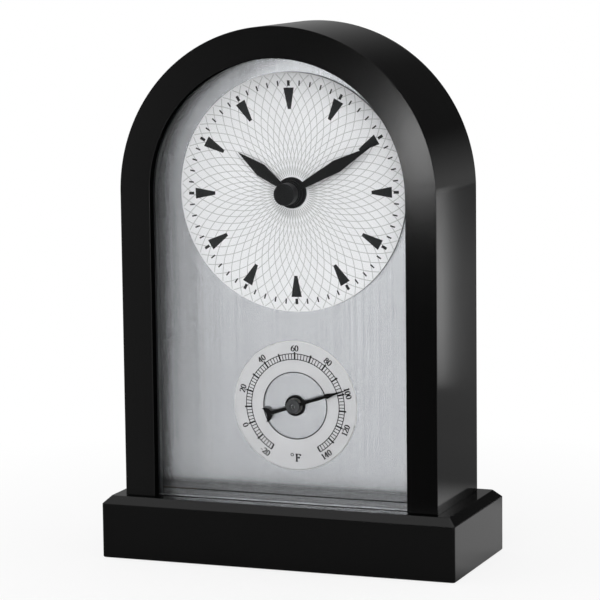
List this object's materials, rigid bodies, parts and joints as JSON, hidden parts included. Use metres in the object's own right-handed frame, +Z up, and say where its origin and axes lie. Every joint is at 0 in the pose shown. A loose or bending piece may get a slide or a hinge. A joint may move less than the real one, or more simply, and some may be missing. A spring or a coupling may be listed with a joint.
{
  "type": "desk clock",
  "caption": "Arched black desk clock on a chamfered plinth, with a round dial, a thermometer below it and a geared quartz movement behind a screwed back panel.",
  "frame": {"origin": "middle of the footprint, on the surface that the clock stands on", "axes": "+Z up; the dial faces -Y; +X is to the viewer's right"},
  "size_m": [0.1322, 0.0564, 0.19],
  "materials": {
    "black_lacquer": "satin black lacquer on wood",
    "black_board": "black faced board",
    "batten_wood": "raw board",
    "plated_steel": "zinc plated",
    "pad_rubber": "matte",
    "clear_glass": "polished flat glass",
    "retainer_plastic": "satin",
    "brushed_aluminium": "vertically brushed",
    "dial_silver": "satin silver white with printed guilloche and marks",
    "scale_grey": "matte grey with printed scale",
    "black_hands": "satin black",
    "movement_plastic": "moulded",
    "gear_plastic": "natural acetal",
    "steel": "ground",
    "copper_wire": "enamelled copper winding",
    "circuit_laminate": "green solder mask",
    "cell_can": "plain printed sleeve",
    "brass": "bright"
  },
  "bodies": {
    "case": {"base_plinth": "black_lacquer", "arch_case": "black_lacquer", "back_panel": "black_board", "backing_frame": "batten_wood", "base_screw_1": "plated_steel", "base_screw_2": "plated_steel", "base_screw_3": "plated_steel", "base_screw_4": "plated_steel", "panel_screw_1": "plated_steel", "panel_screw_2": "plated_steel", "panel_screw_3": "plated_steel", "panel_screw_4": "plated_steel", "panel_screw_5": "plated_steel", "panel_screw_6": "plated_steel", "contact_positive": "plated_steel", "contact_negative": "plated_steel", "foot_pad_1": "pad_rubber", "foot_pad_2": "pad_rubber", "foot_pad_3": "pad_rubber", "foot_pad_4": "pad_rubber", "rubber_washer": "pad_rubber", "glass_pane": "clear_glass", "glass_retainer": "retainer_plastic", "dial_plate": "brushed_aluminium", "dial_disc": "dial_silver", "thermometer_scale": "scale_grey", "collar_nut": "black_hands", "thermometer_bush": "black_hands", "movement_front": "movement_plastic", "movement_rear": "movement_plastic", "stator": "steel", "drive_coil": "copper_wire", "circuit_board": "circuit_laminate", "thermometer_cup": "brass", "bimetal_coil": "brass"},
    "minute": {"minute_arbor": "steel", "centre_wheel": "gear_plastic", "minute_hand": "black_hands", "hand_cap": "black_hands"},
    "hour": {"hour_wheel": "gear_plastic", "hour_hand": "black_hands"},
    "motion_work": {"minute_wheel": "gear_plastic"},
    "third": {"third_wheel": "gear_plastic"},
    "step_rotor": {"rotor": "steel"},
    "setting": {"set_arbor": "movement_plastic", "set_knob": "movement_plastic"},
    "needle": {"needle_arbor": "steel", "thermometer_needle": "black_hands", "needle_cap": "black_hands"},
    "power_cell": {"cell": "cell_can"}
  },
  "joints": [
    {"name": "minute_turn", "type": "hinge", "parent": "case", "child": "minute", "pos_m": [0, -0.0103, 0.131], "axis": [0, 1, 0], "continuous": true},
    {"name": "hour_turn", "type": "hinge", "parent": "case", "child": "hour", "pos_m": [0, -0.0082, 0.131], "axis": [0, 1, 0], "continuous": true},
    {"name": "minute_wheel_turn", "type": "hinge", "parent": "case", "child": "motion_work", "pos_m": [-0.00779, 0, 0.1355], "axis": [0, 1, 0], "continuous": true},
    {"name": "third_wheel_turn", "type": "hinge", "parent": "case", "child": "third", "pos_m": [0.0042, 0, 0.13827], "axis": [0, 1, 0], "continuous": true},
    {"name": "rotor_turn", "type": "hinge", "parent": "case", "child": "step_rotor", "pos_m": [0.01137, 0, 0.13701], "axis": [0, 1, 0], "continuous": true},
    {"name": "set_knob_turn", "type": "hinge", "parent": "case", "child": "setting", "pos_m": [-0.01625, 0, 0.13242], "axis": [0, 1, 0], "continuous": true},
    {"name": "needle_turn", "type": "hinge", "parent": "case", "child": "needle", "pos_m": [0, -0.0069, 0.05513], "axis": [0, 1, 0], "range_deg": [-221.4, 78.6], "stiffness_Nm_per_rad": 0.0002},
    {"name": "cell_slide", "type": "slide", "parent": "case", "child": "power_cell", "axis": [0, 1, 0], "range_m": [0, 0.03]}
  ],
  "couplings": [
    {"joint": "hour_turn", "follows": "minute_turn", "ratio": 0.083333},
    {"joint": "minute_wheel_turn", "follows": "minute_turn", "ratio": -0.33333},
    {"joint": "third_wheel_turn", "follows": "minute_turn", "ratio": -5},
    {"joint": "rotor_turn", "follows": "minute_turn", "ratio": 30},
    {"joint": "set_knob_turn", "follows": "minute_turn", "ratio": 1}
  ]
}
